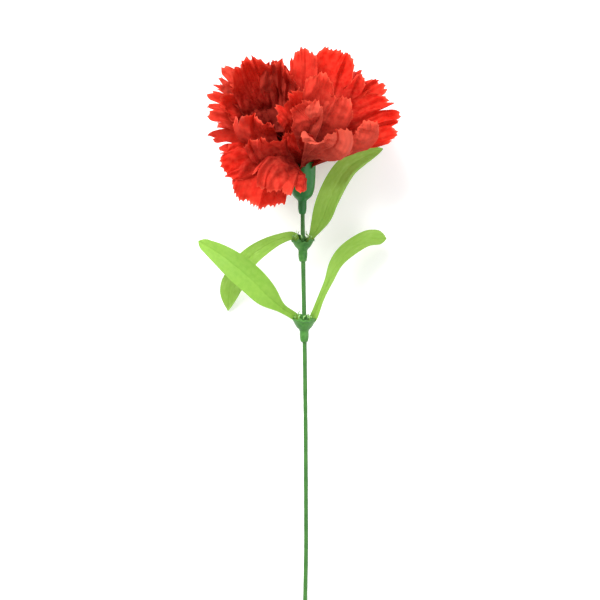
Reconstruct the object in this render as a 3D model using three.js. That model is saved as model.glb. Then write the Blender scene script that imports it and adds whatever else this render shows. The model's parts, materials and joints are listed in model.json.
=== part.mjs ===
// Artificial carnation lying on a table, in millimetres with +Z up.
// The stem runs along +Y from its cut end and rises to the flower head.
// The cut end and the petals under the head touch the table at Z = 0.
// Lengths along the stem are measured from the cut end. At the end the flower is
// moved so that the middle of its footprint is the origin.
import * as THREE from "three";

// Stem: a wire in a plastic cover
const MOUTH_Y = 240; // calyx mouth, measured along the table from the cut end
const STEM_RISE = 29.85; // height gained from the cut end to the calyx mouth
const COVER_RADIUS = 1.15;
const COVER_BORE = 0.8;
const WIRE_RADIUS = 0.5;
const COVER_SIDES = 16;
const WIRE_SIDES = 10;
const STEM_STEPS = 18;
const STEM_BENDS = [
  // [share of the stem's length, X] of its slightly bent centreline
  [0, -0.2],
  [0.18, 0.65],
  [0.45, 0.4],
  [0.66, -0.2],
  [0.84, -1.0],
  [1, -1.35],
];

// Clearance between neighbouring pieces
const GAP = 0.3;

// Calyx: a cup on a stepped sleeve
const CALYX_RADIUS = 6.6;
const CALYX_HEIGHT = 20;
const CALYX_WALL = 0.8;
const CUP_DEPTH = 3.9;
const SLEEVE_WALL = 0.75;
const LIP_WALL = 0.35;
const SLEEVE_LENGTH = 4.5;
const TAPER_LENGTH = 2.5;
const STEM_IN_CALYX = 11; // the stem ends this far up from the calyx's underside
const ROUND_SIDES = 24;

// Leaf collars: an open cup on a sleeve
const COLLAR_BELOW_MOUTH = { collar_upper: 36, collar_lower: 76.5 };
const COLLAR_RADIUS = 6;
const COLLAR_WALL = 1;
const COLLAR_CUP = 9;
const COLLAR_SLEEVE = 5.2;
const COLLAR_FLOOR = 6.2; // depth of the cup's floor below its rim

// Flower head: petals fan out from a point inside the calyx
const FAN_DEPTH = 13; // the fan's centre lies this far below the calyx mouth
const BEND_LENGTH = 28; // length over which a petal arches from claw to blade
const CORE_CLAW_ANGLE = 3.6;
const CORE_ANGLE = 11; // innermost petals' angle to the axis at their tips
const SPREAD_ANGLE = 78; // outermost petals' mean angle at their tips
const DROOP_ANGLE = 17; // added on the drooping side, taken off opposite
const DROOP_SIDE = 135; // degrees round the axis, 0 = +X, 90 = up
const PETAL_THICKNESS = 0.8;
const CLAW_THICKNESS = 0.36;
const CLAW_WIDTH = 0.72; // claw's width as a share of its sector
const RUFFLE_ANGLE = 2.6;
const RUFFLE_COUNT = 11;
const TIP_ROUNDING = 0.14;
const TABLE_CLEARANCE = 0.02;
const ACROSS_STEPS = 10;
const ALONG_STEPS = 8;
const LAYERS = [
  // from the outside in: petals, length from the fan's centre, turn in degrees
  { count: 5, reach: 51, turn: 20 },
  { count: 5, reach: 56, turn: 56 },
  { count: 5, reach: 60, turn: 2 },
  { count: 4, reach: 66, turn: 40 },
  { count: 4, reach: 69, turn: 85 },
  { count: 3, reach: 64, turn: 25 },
];

// Leaves
const LEAF_THICKNESS = 0.5;
const STALK_HALF_WIDTH = 0.8;
const STALK_DEPTH = 4; // length of stalk inside the collar's cup
const LEAF_GUTTER = 0.12; // gutter depth as a share of the half width
const LEAF_ACROSS = 4;
const LEAF_ALONG = 18;
const LEAVES = [
  {
    name: "leaf_upper_right",
    collar: "collar_upper",
    side: 1,
    // each row: X, Y, Z from the collar's rim, half width, roll in degrees
    rows: [
      [8.4, 7.6, 0.5, 3.6, 6],
      [13.0, 16.5, -1.5, 5.6, 10],
      [18.0, 26.0, -5.5, 6.2, 12],
      [23.5, 33.5, -10, 5.8, 12],
      [31.5, 39.0, -15, 4.4, 10],
      [41.0, 43.2, -19, 0.5, 5],
    ],
  },
  {
    name: "leaf_upper_left",
    collar: "collar_upper",
    side: -1,
    rows: [
      [-11.4, -0.6, 0.9, 3.0, 0],
      [-19.0, -6.2, -3.0, 3.9, 0],
      [-27.0, -13, -9.0, 4.9, 0],
      [-32.5, -21, -15.5, 5.5, 0],
      [-36.5, -29, -21.3, 5.0, 0],
      [-37.2, -39.5, -25.6, 0.5, 0],
    ],
  },
  {
    name: "leaf_lower_left",
    collar: "collar_lower",
    side: -1,
    rows: [
      [-12.1, 5.4, 5.2, 3.2, 0],
      [-19.6, 10, 7.6, 5.6, 0],
      [-26.6, 16.5, 7.1, 6.6, 0],
      [-33.6, 22.5, 5.1, 6.6, 0],
      [-40.6, 28, 2.1, 5.8, 0],
      [-47.6, 32.5, -1.9, 3.6, 0],
      [-52.2, 34.8, -4.9, 0.5, 0],
    ],
  },
  {
    name: "leaf_lower_right",
    collar: "collar_lower",
    side: 1,
    rows: [
      [7.4, 7.5, 2.2, 1.8, 10],
      [11.4, 15.5, 3.0, 3.2, 25],
      [15.9, 24, 1.1, 4.4, 38],
      [22.4, 30.5, -2.4, 5.2, 42],
      [29.4, 35, -6.4, 4.8, 38],
      [35.9, 37, -9.4, 2.8, 25],
      [41.2, 38.1, -10.9, 0.5, 15],
    ],
  },
];

// Finishes
const FINISHES = {
  petal: { color: 0xd62a1a, roughness: 0.85, metalness: 0 },
  leaf: { color: 0x96c846, roughness: 0.8, metalness: 0 },
  calyx: { color: 0x2f6b3a, roughness: 0.4, metalness: 0 },
  collar: { color: 0x3f8a4a, roughness: 0.45, metalness: 0 },
  cover: { color: 0x467d37, roughness: 0.5, metalness: 0 },
  wire: { color: 0x9a9a96, roughness: 0.4, metalness: 1 },
};

const flower = new THREE.Group();
const stem = new THREE.Group();
const head = new THREE.Group();
const foliage = new THREE.Group();
flower.add(stem, head, foliage);

/** Adds one named piece to its group, with its own material. */
function add(parent, name, geometry, finish) {
  const material = new THREE.MeshStandardMaterial(FINISHES[finish]);
  const mesh = new THREE.Mesh(geometry, material);
  mesh.name = name;
  parent.add(mesh);
  return mesh;
}

const radians = THREE.MathUtils.degToRad;
const smooth = THREE.MathUtils.smoothstep;
const STEM_END = MOUTH_Y - CALYX_HEIGHT + STEM_IN_CALYX;

/** Point of the stem's axis above one Y, straight on past the stem's end. */
function stemPoint(y) {
  const share = Math.min(y / STEM_END, 1);
  const last = STEM_BENDS.length - 1;
  const found = STEM_BENDS.findIndex(([s]) => s >= share);
  const k = THREE.MathUtils.clamp(found, 1, last);
  const [s0, x0] = STEM_BENDS[k - 1];
  const [s1, x1] = STEM_BENDS[k];
  const x = x0 + ((x1 - x0) * (share - s0)) / (s1 - s0);
  return new THREE.Vector3(x, y, COVER_RADIUS + (STEM_RISE * y) / MOUTH_Y);
}

/** Closed solid between two grids of points that share their layout. */
function closedSheet(upper, lower) {
  const rows = upper.length;
  const columns = upper[0].length;
  const half = rows * columns;
  const faces = [];
  const quad = (a, b, c, d) => faces.push(a, b, c, a, c, d);
  const at = (i, j) => i * columns + j;
  for (let i = 0; i < rows - 1; i += 1) {
    for (let j = 0; j < columns - 1; j += 1) {
      const [a, b] = [at(i, j), at(i, j + 1)];
      const [c, d] = [at(i + 1, j + 1), at(i + 1, j)];
      quad(a, b, c, d);
      quad(half + a, half + d, half + c, half + b);
    }
  }
  const rim = [];
  for (let j = 0; j < columns - 1; j += 1) {
    rim.push(at(0, j));
  }
  for (let i = 0; i < rows - 1; i += 1) {
    rim.push(at(i, columns - 1));
  }
  for (let j = columns - 1; j > 0; j -= 1) {
    rim.push(at(rows - 1, j));
  }
  for (let i = rows - 1; i > 0; i -= 1) {
    rim.push(at(i, 0));
  }
  rim.forEach((a, k) => {
    const b = rim[(k + 1) % rim.length];
    quad(b, a, half + a, half + b);
  });
  const flat = [...upper.flat(), ...lower.flat()].flatMap((p) => p.toArray());
  const geometry = new THREE.BufferGeometry();
  geometry.setAttribute("position", new THREE.Float32BufferAttribute(flat, 3));
  geometry.setIndex(faces);
  geometry.computeVertexNormals();
  return geometry;
}

/** Corners of a regular polygon. */
function ring(radius, sides) {
  return Array.from({ length: sides }, (_, i) => {
    const a = (2 * Math.PI * i) / sides;
    return new THREE.Vector2(radius * Math.cos(a), radius * Math.sin(a));
  });
}

/** Sweeps a shape along the stem's centreline. */
function alongStem(shape) {
  const knots = STEM_BENDS.map(([share]) => stemPoint(share * STEM_END));
  return new THREE.ExtrudeGeometry(shape, {
    steps: STEM_STEPS,
    extrudePath: new THREE.CatmullRomCurve3(knots, false, "catmullrom", 0.5),
    bevelEnabled: false,
  });
}

const coverShape = new THREE.Shape(ring(COVER_RADIUS, COVER_SIDES));
coverShape.holes.push(new THREE.Path(ring(COVER_BORE, COVER_SIDES)));
add(stem, "stem_cover", alongStem(coverShape), "cover");
const wireShape = new THREE.Shape(ring(WIRE_RADIUS, WIRE_SIDES));
add(stem, "stem_wire", alongStem(wireShape), "wire");

/** Adds a round piece on the stem from a profile of [radius, height] rows. */
function addOnStem(name, profile, y, finish) {
  const points = profile.map(([r, h]) => new THREE.Vector2(r, h));
  const geometry = new THREE.LatheGeometry(points, ROUND_SIDES);
  const mesh = add(stem, name, geometry, finish);
  const along = stemPoint(y + 1).sub(stemPoint(y - 1)).normalize();
  mesh.quaternion.setFromUnitVectors(new THREE.Vector3(0, 1, 0), along);
  mesh.position.copy(stemPoint(y));
}

const BORE = COVER_RADIUS + GAP;
const SLEEVE_RADIUS = BORE + SLEEVE_WALL;
const LIP_RADIUS = BORE + LIP_WALL;

// Calyx, its mouth at height 0 of the profile
const CUP_RADIUS = CALYX_RADIUS - CALYX_WALL;
const calyxBottom = -CALYX_HEIGHT;
const calyxSleeveEnd = calyxBottom - SLEEVE_LENGTH;
const calyxEnd = calyxSleeveEnd - TAPER_LENGTH;
const calyxProfile = [
  [BORE, calyxEnd],
  [LIP_RADIUS, calyxEnd],
  [SLEEVE_RADIUS, calyxSleeveEnd],
  [SLEEVE_RADIUS, calyxBottom],
  [CALYX_RADIUS * 0.58, calyxBottom + 1.1],
  [CALYX_RADIUS * 0.8, calyxBottom + 3],
  [CALYX_RADIUS * 0.91, calyxBottom + 6],
  [CALYX_RADIUS * 0.98, calyxBottom + 10],
  [CALYX_RADIUS, -CUP_DEPTH],
  [CALYX_RADIUS, 0],
  [CUP_RADIUS, 0],
  [CUP_RADIUS, -CUP_DEPTH],
  [BORE, -CUP_DEPTH],
  [BORE, calyxEnd],
];
addOnStem("calyx", calyxProfile, MOUTH_Y, "calyx");

// Collars, each with its rim at height 0 of the profile
const COLLAR_MOUTH = COLLAR_RADIUS - COLLAR_WALL;
const collarEnd = -COLLAR_CUP - COLLAR_SLEEVE;
const collarProfile = [
  [BORE, collarEnd],
  [LIP_RADIUS, collarEnd],
  [SLEEVE_RADIUS, collarEnd + 1.8],
  [SLEEVE_RADIUS, -COLLAR_CUP],
  [COLLAR_RADIUS * 0.62, 1.6 - COLLAR_CUP],
  [COLLAR_RADIUS * 0.9, 4 - COLLAR_CUP],
  [COLLAR_RADIUS, 6.2 - COLLAR_CUP],
  [COLLAR_RADIUS * 0.94, 0],
  [COLLAR_MOUTH * 0.98, 0],
  [COLLAR_MOUTH, -2.8],
  [COLLAR_MOUTH * 0.8, -4.8],
  [COLLAR_MOUTH * 0.55, -COLLAR_FLOOR],
  [BORE, -COLLAR_FLOOR],
  [BORE, collarEnd],
];
for (const [name, below] of Object.entries(COLLAR_BELOW_MOUTH)) {
  addOnStem(name, collarProfile, MOUTH_Y - below, "collar");
}

// The head's group has its origin at the fan's centre and +Y on the calyx's axis
const axis = stemPoint(MOUTH_Y).sub(stemPoint(MOUTH_Y - 1)).normalize();
const sideways = new THREE.Vector3(1, 0, 0).addScaledVector(axis, -axis.x);
sideways.normalize();
const upward = new THREE.Vector3().crossVectors(sideways, axis);
const basis = new THREE.Matrix4().makeBasis(sideways, axis, upward);
head.quaternion.setFromRotationMatrix(basis);
head.position.copy(stemPoint(MOUTH_Y)).addScaledVector(axis, -FAN_DEPTH);

// The outermost claws pass the calyx's mouth with a clearance, then arch outwards
const clawRadius = CUP_RADIUS - GAP - CLAW_THICKNESS / 2;
const clawAngle = Math.atan2(clawRadius, FAN_DEPTH);
const bendStart = FAN_DEPTH / Math.cos(clawAngle);
const petalStart = (FAN_DEPTH - CUP_DEPTH + GAP) / Math.cos(clawAngle);

/** Petal surface's angle to the axis, for one depth in the bloom. */
function freeAngle(distance, depth, turn) {
  const bend = smooth(distance, bendStart, bendStart + BEND_LENGTH);
  const coreClaw = radians(CORE_CLAW_ANGLE);
  const claw = coreClaw + (clawAngle - coreClaw) * depth;
  const droop = DROOP_ANGLE * Math.cos(turn - radians(DROOP_SIDE));
  const spread = CORE_ANGLE + (SPREAD_ANGLE + droop - CORE_ANGLE) * depth;
  const ruffle = RUFFLE_ANGLE * Math.sin(RUFFLE_COUNT * turn);
  return claw + (radians(spread + ruffle) - claw) * bend;
}

/** Largest angle to the axis that keeps a petal above the table. */
function tableAngle(distance, turn) {
  const side = sideways.z * Math.cos(turn) + upward.z * Math.sin(turn);
  const floor = TABLE_CLEARANCE + PETAL_THICKNESS / 2 - head.position.z;
  const reach = floor / (distance * Math.hypot(axis.z, side));
  if (side >= 0 || reach <= -1) {
    return Math.PI;
  }
  return Math.atan2(side, axis.z) + Math.acos(reach);
}

/** Point on or beside a petal's surface, pressed flat where it meets the table. */
function bloomPoint(distance, depth, turn, offset) {
  const widest = freeAngle(distance, 1, turn);
  const squeeze = Math.min(1, tableAngle(distance, turn) / widest);
  const angle = squeeze * freeAngle(distance, depth, turn) + offset / distance;
  const radius = distance * Math.sin(angle);
  const height = distance * Math.cos(angle);
  return new THREE.Vector3(radius * Math.cos(turn), height, radius * Math.sin(turn));
}

/** One petal: a claw in the calyx that widens into a rounded, ruffled fan. */
function petal(depth, turn, count, reach) {
  const sector = Math.PI / count;
  const inner = [];
  const outer = [];
  for (let i = 0; i <= ALONG_STEPS; i += 1) {
    inner.push([]);
    outer.push([]);
    for (let j = 0; j <= ACROSS_STEPS; j += 1) {
      const across = (2 * j) / ACROSS_STEPS - 1;
      const tip = reach * (1 - TIP_ROUNDING * across * across);
      const distance = petalStart + ((tip - petalStart) * i) / ALONG_STEPS;
      const bend = smooth(distance, petalStart, bendStart + BEND_LENGTH);
      const radius = distance * Math.sin(freeAngle(distance, depth, turn));
      const width = (sector - GAP / radius) * (CLAW_WIDTH + (1 - CLAW_WIDTH) * bend);
      const thickness = CLAW_THICKNESS + (PETAL_THICKNESS - CLAW_THICKNESS) * bend;
      const place = turn + across * width;
      inner[i].push(bloomPoint(distance, depth, place, -thickness / 2));
      outer[i].push(bloomPoint(distance, depth, place, thickness / 2));
    }
  }
  return closedSheet(inner, outer);
}

LAYERS.forEach(({ count, reach, turn }, layer) => {
  const depth = 1 - layer / (LAYERS.length - 1);
  for (let i = 0; i < count; i += 1) {
    const at = radians(turn + (360 * i) / count);
    const name = `petal_${layer + 1}_${i + 1}`;
    add(head, name, petal(depth, at, count, reach), "petal");
  }
});

/** Rows of a leaf from its foot, halfway between the stem and the collar's wall. */
function leafRows(side, rows) {
  const foot = (COVER_RADIUS + COLLAR_MOUTH) / 2;
  const stalk = [
    [side * foot, -STALK_DEPTH, -0.3, STALK_HALF_WIDTH, 0],
    [side * (foot + 0.6), 2, 0.4, 1.6 * STALK_HALF_WIDTH, 0],
  ];
  return [...stalk, ...rows];
}

/** One leaf: a narrow stalk that widens into a pointed blade with a gutter. */
function leaf(rows, floor) {
  const knots = rows.map(([x, y, z]) => new THREE.Vector3(x, y, Math.max(z, floor)));
  const path = new THREE.CatmullRomCurve3(knots, false, "catmullrom", 0.5);
  const upper = [];
  const lower = [];
  for (let i = 0; i <= LEAF_ALONG; i += 1) {
    const t = i / LEAF_ALONG;
    const place = t * (rows.length - 1);
    const k = Math.min(Math.floor(place), rows.length - 2);
    const mix = (n) => rows[k][n] + (rows[k + 1][n] - rows[k][n]) * (place - k);
    const halfWidth = mix(3);
    const along = path.getTangent(t);
    const up = new THREE.Vector3(0, 0, 1).addScaledVector(along, -along.z);
    up.normalize().applyAxisAngle(along, radians(mix(4)));
    const across = new THREE.Vector3().crossVectors(along, up);
    upper.push([]);
    lower.push([]);
    for (let j = 0; j <= LEAF_ACROSS; j += 1) {
      const side = (2 * j) / LEAF_ACROSS - 1;
      const lift = LEAF_GUTTER * halfWidth * Math.abs(side);
      const point = path.getPoint(t).addScaledVector(across, side * halfWidth);
      const top = point.clone().addScaledVector(up, lift + LEAF_THICKNESS / 2);
      const base = point.clone().addScaledVector(up, lift - LEAF_THICKNESS / 2);
      upper[i].push(top);
      lower[i].push(base);
    }
  }
  return closedSheet(upper, lower);
}

for (const { name, collar, side, rows } of LEAVES) {
  const rim = stemPoint(MOUTH_Y - COLLAR_BELOW_MOUTH[collar]);
  const floor = TABLE_CLEARANCE + LEAF_THICKNESS - rim.z;
  const mesh = add(foliage, name, leaf(leafRows(side, rows), floor), "leaf");
  mesh.position.copy(rim);
}

const middle = new THREE.Box3().setFromObject(flower).getCenter(new THREE.Vector3());
flower.position.set(-middle.x, -middle.y, 0);

export default flower;
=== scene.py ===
"""Artificial carnation lying on a pale table.

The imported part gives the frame: where the stem, the calyx, the collars and the
petals are. This script dresses it. Fabric petals and leaves are cut as sheets and
bent into shape, the moulded pieces and the stem are swept smooth, and each finish
is a procedural material. Sizes are in millimetres until a mesh is made.
"""

import json
import logging
import math
from dataclasses import dataclass
from enum import Enum

import bpy
import numpy as np
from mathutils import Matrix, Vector

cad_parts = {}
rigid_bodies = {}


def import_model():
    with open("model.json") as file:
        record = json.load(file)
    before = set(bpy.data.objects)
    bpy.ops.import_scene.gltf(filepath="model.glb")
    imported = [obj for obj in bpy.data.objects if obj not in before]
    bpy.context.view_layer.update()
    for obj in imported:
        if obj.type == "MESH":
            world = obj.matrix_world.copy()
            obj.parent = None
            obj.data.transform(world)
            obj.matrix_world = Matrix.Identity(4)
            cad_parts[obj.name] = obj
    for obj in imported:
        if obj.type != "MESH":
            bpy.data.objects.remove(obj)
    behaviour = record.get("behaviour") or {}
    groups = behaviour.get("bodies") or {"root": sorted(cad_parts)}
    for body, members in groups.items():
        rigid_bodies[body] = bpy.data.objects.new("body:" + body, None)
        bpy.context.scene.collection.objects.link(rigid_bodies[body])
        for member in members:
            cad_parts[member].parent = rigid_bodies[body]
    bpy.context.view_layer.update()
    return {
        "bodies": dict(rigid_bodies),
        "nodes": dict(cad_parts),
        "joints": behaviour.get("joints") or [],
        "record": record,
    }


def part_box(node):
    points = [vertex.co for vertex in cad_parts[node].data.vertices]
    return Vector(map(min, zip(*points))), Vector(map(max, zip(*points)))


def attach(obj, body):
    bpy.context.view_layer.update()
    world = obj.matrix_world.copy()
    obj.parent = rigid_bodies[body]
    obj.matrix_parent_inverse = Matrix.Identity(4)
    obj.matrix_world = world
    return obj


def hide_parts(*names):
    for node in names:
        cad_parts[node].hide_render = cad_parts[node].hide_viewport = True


log = logging.getLogger("carnation")

MM = 0.001
BODY = "root"
UV_NAME = "cut"
REACH_NAME = "reach"
RIM_NAME = "rim"
# Point attribute for light painted over a whole sheet: painted shade below 0, a pink painted sheen
# above 0.
PAINTED_LIGHT_NAME = "painted_light"
TINY = 1e-9
UP = (0.0, 0.0, 1.0)

Point = tuple[float, float, float]
Colour = tuple[float, float, float]


class Slot(Enum):
    """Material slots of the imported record."""

    PETAL = "petal"
    LEAF = "leaf"
    CALYX = "calyx"
    COLLAR = "collar"
    COVER = "cover"


class Side(Enum):
    """Side of the stem that a leaf grows on."""

    LEFT = -1
    RIGHT = 1


# ---------------------------------------------------------------- shape helpers


def smooth(x: np.ndarray, start: float, end: float) -> np.ndarray:
    """Smooth step from 0 at start to 1 at end.

    Args:
        x: Values to map.
        start: Where the step begins.
        end: Where it ends.

    Returns:
        The step's height at each value.
    """
    t = np.clip((x - start) / (end - start), 0.0, 1.0)
    return t * t * (3.0 - 2.0 * t)


def unit(v: np.ndarray) -> np.ndarray:
    """Vectors of length one along the last axis."""
    return v / np.maximum(np.linalg.norm(v, axis=-1, keepdims=True), TINY)


def crossways(along: np.ndarray) -> tuple[np.ndarray, np.ndarray]:
    """Two unit vectors square to each direction: a level one, and one that looks up."""
    across = unit(np.cross(along, UP))
    return across, np.cross(across, along)


def bezier(points: np.ndarray, t: np.ndarray) -> tuple[np.ndarray, np.ndarray]:
    """Cubic curve through four handles.

    Args:
        points: The four handles, one per row.
        t: Places along the curve, from 0 to 1.

    Returns:
        Points on the curve and unit tangents there.
    """
    a, b, c, d = points
    t = t[:, None]
    place = (1 - t) ** 3 * a + 3 * (1 - t) ** 2 * t * b + 3 * (1 - t) * t**2 * c + t**3 * d
    slope = (1 - t) ** 2 * (b - a) + 2 * (1 - t) * t * (c - b) + t**2 * (d - c)
    return place, unit(slope)


def catmull(rows: np.ndarray, t: np.ndarray) -> np.ndarray:
    """Catmull-Rom interpolation of a table's rows.

    Args:
        rows: One row of values per knot.
        t: Places along the table, from 0 to 1.

    Returns:
        The interpolated rows.
    """
    ends = np.vstack([2 * rows[0] - rows[1], rows, 2 * rows[-1] - rows[-2]])
    place = np.clip(t, 0, 1) * (len(rows) - 1)
    k = np.minimum(place.astype(int), len(rows) - 2)
    f = (place - k)[:, None]
    p0, p1, p2, p3 = ends[k], ends[k + 1], ends[k + 2], ends[k + 3]
    return 0.5 * (
        2 * p1
        + (p2 - p0) * f
        + (2 * p0 - 5 * p1 + 4 * p2 - p3) * f**2
        + (3 * p1 - p0 - 3 * p2 + p3) * f**3
    )


def zigzag(x: np.ndarray) -> np.ndarray:
    """Rounded teeth of period 1 and height 1."""
    return np.abs(np.sin(np.pi * x)) ** 0.8


@dataclass
class Grid:
    """A sheet of points that becomes one mesh.

    Attributes:
        points: Rows and columns of points, in millimetres.
        cut: The same sheet laid flat, in millimetres.
        reach: How far each point is along the sheet, from 0 to 1.
        rim: How near each point is to the cut edge, from 0 to 1.
        closed: Whether the last column joins the first.
        painted_light: Light painted over the whole sheet, from -1 for painted shade to 1 for a pink
            painted sheen.
    """

    points: np.ndarray
    cut: np.ndarray
    reach: np.ndarray
    rim: np.ndarray
    closed: bool = False
    painted_light: float = 0.0

    def faces(self) -> np.ndarray:
        """Corner numbers of every four-sided face.

        Returns:
            One row of four numbers per face.
        """
        rows, columns = self.points.shape[:2]
        last = columns if self.closed else columns - 1
        i, j = np.meshgrid(np.arange(rows - 1), np.arange(last), indexing="ij")
        k = (j + 1) % columns
        corners = (i * columns + j, i * columns + k, (i + 1) * columns + k, (i + 1) * columns + j)
        return np.stack(corners, axis=-1).reshape(-1, 4)

    def build(self, name: str, material: bpy.types.Material) -> bpy.types.Object:
        """Makes the mesh object, in metres.

        Args:
            name: The piece's name.
            material: What it is made of.

        Returns:
            The new object, linked to the scene.
        """
        faces = self.faces()
        mesh = bpy.data.meshes.new(name)
        verts = (self.points.reshape(-1, 3) * MM).tolist()
        mesh.from_pydata(verts, [], faces.tolist())
        corners = faces.reshape(-1)
        layer = mesh.uv_layers.new(name=UV_NAME)
        flat = self.cut.reshape(-1, 2)[corners]
        layer.data.foreach_set("uv", flat.astype(np.float32).reshape(-1))
        painted_light = np.full(self.points.shape[:2], self.painted_light)
        for key, values in ((REACH_NAME, self.reach), (RIM_NAME, self.rim), (PAINTED_LIGHT_NAME, painted_light)):
            attribute = mesh.attributes.new(key, "FLOAT", "POINT")
            attribute.data.foreach_set("value", values.astype(np.float32).reshape(-1))
        mesh.polygons.foreach_set("use_smooth", np.ones(len(faces), dtype=bool))
        mesh.materials.append(material)
        mesh.validate()
        piece = bpy.data.objects.new(name, mesh)
        bpy.context.scene.collection.objects.link(piece)
        return piece


def join_grids(name: str, grids: list[Grid], material: bpy.types.Material) -> bpy.types.Object:
    """Stacks grids of one size into a single piece, without faces between them.

    Args:
        name: The piece's name.
        grids: Grids with equal numbers of rows and columns.
        material: What they are made of.

    Returns:
        The new object, linked to the scene.
    """
    parts = [grid.build(f"{name}_{k}", material) for k, grid in enumerate(grids)]
    verts = [tuple(v.co) for part in parts for v in part.data.vertices]
    size = len(parts[0].data.vertices)
    faces = [
        tuple(k * size + corner for corner in face.vertices)
        for k, part in enumerate(parts)
        for face in part.data.polygons
    ]
    for part in parts:
        bpy.data.meshes.remove(part.data)
    mesh = bpy.data.meshes.new(name)
    mesh.from_pydata(verts, [], faces)
    mesh.polygons.foreach_set("use_smooth", np.ones(len(faces), dtype=bool))
    mesh.materials.append(material)
    piece = bpy.data.objects.new(name, mesh)
    bpy.context.scene.collection.objects.link(piece)
    return piece


def keep(piece: bpy.types.Object, slot: Slot, *nodes: str) -> None:
    """Ties a finished piece to the frame.

    Args:
        piece: The finished object.
        slot: The record's slot for the piece; not used.
        nodes: CAD nodes that it stands for.
    """
    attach(piece, BODY)
    if nodes:
        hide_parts(*nodes)
    log.info("built %s with %d faces", piece.name, len(piece.data.polygons))


# ---------------------------------------------------------------- finishes


@dataclass
class Wiring:
    """Short ways to add and join nodes in one tree.

    Attributes:
        tree: The material's or the group's node tree.
    """

    tree: bpy.types.NodeTree

    def put(self, kind: str, **settings: object) -> bpy.types.Node:
        """Adds a node and sets its properties.

        Args:
            kind: Blender's name for its type.
            settings: Values of its properties.

        Returns:
            The new node.
        """
        node = self.tree.nodes.new(kind)
        for key, value in settings.items():
            setattr(node, key, value)
        return node

    def feed(self, target: bpy.types.NodeSocket, value: object) -> None:
        """Sets a socket from another socket or from a plain value.

        Args:
            target: Input to set.
            value: Output to join to it, or its value.
        """
        if isinstance(value, bpy.types.NodeSocket):
            self.tree.links.new(value, target)
        else:
            target.default_value = value

    def fill(self, node: bpy.types.Node, values: dict[str, object]) -> None:
        """Feeds a node's inputs by their names.

        Args:
            node: Node to set.
            values: Outputs or plain values by input name.
        """
        for key, value in values.items():
            self.feed(node.inputs[key], value)

    def place(self, tree: bpy.types.NodeTree, **values: float) -> bpy.types.Node:
        """Places a shared group with its own values.

        Args:
            tree: The shared group.
            values: Plain values by input name.

        Returns:
            The node that holds the group.
        """
        node = self.put("ShaderNodeGroup", node_tree=tree)
        self.fill(node, values)
        return node

    def math(self, operation: str, *values: object) -> bpy.types.NodeSocket:
        """Adds a math node.

        Args:
            operation: Blender's name for it.
            values: Sockets or numbers, in order.

        Returns:
            The result's socket.
        """
        node = self.put("ShaderNodeMath", operation=operation)
        for socket, value in zip(node.inputs, values):
            self.feed(socket, value)
        return node.outputs[0]

    def mix(self, factor: object, a: object, b: object) -> bpy.types.NodeSocket:
        """Adds a colour mix.

        Args:
            factor: Share of b, from 0 to 1.
            a: First colour or socket.
            b: Second colour or socket.

        Returns:
            The mixed colour's socket.
        """
        node = self.put("ShaderNodeMix", data_type="RGBA")
        self.feed(node.inputs[0], factor)
        for number, value in zip(MIX_COLOURS, (a, b)):
            self.feed(node.inputs[number], (*value, 1.0) if isinstance(value, tuple) else value)
        return node.outputs[MIX_RESULT]

    def span(
        self, value: object, low: float, high: float, to_low: float = 0, to_high: float = 1
    ) -> bpy.types.NodeSocket:
        """Maps a range of values to another, held at its ends.

        Args:
            value: Socket to map.
            low: Value that gives to_low.
            high: Value that gives to_high.
            to_low: Result at low.
            to_high: Result at high.

        Returns:
            The mapped value's socket.
        """
        node = self.put("ShaderNodeMapRange", clamp=True)
        for socket, number in zip(node.inputs, (value, low, high, to_low, to_high)):
            self.feed(socket, number)
        return node.outputs[0]

    def bump(
        self, height: bpy.types.NodeSocket, depth: float, strength: float
    ) -> bpy.types.NodeSocket:
        """Adds a bump.

        Args:
            height: The surface's height, from 0 to 1.
            depth: What a height of 1 stands for, in millimetres.
            strength: How much of it shows.

        Returns:
            The normal's socket.
        """
        node = self.put("ShaderNodeBump")
        self.fill(node, {"Height": height, "Distance": depth * MM, "Strength": strength})
        return node.outputs[0]

    def flat_cut(self) -> bpy.types.bpy_prop_collection:
        """Sockets of a point's place on the flat cut, in millimetres.

        Returns:
            Outputs for the places across and along the cut, and one that stays 0.
        """
        parts = self.put("ShaderNodeSeparateXYZ")
        self.feed(parts.inputs[0], self.put("ShaderNodeUVMap", uv_map=UV_NAME).outputs[0])
        return parts.outputs


MIX_COLOURS = (6, 7)
MIX_RESULT = 2


def new_group(
    name: str, inputs: tuple[str, ...], outputs: tuple[str, ...]
) -> tuple[Wiring, bpy.types.Node, bpy.types.Node]:
    """Makes an empty shader node group with sockets for numbers.

    Args:
        name: The group's name.
        inputs: Names of its inputs.
        outputs: Names of its outputs.

    Returns:
        The group's wiring, its input node and its output node.
    """
    tree = bpy.data.node_groups.new(name, "ShaderNodeTree")
    for direction, labels in (("INPUT", inputs), ("OUTPUT", outputs)):
        for label in labels:
            tree.interface.new_socket(label, in_out=direction, socket_type="NodeSocketFloat")
    return Wiring(tree), tree.nodes.new("NodeGroupInput"), tree.nodes.new("NodeGroupOutput")


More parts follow.
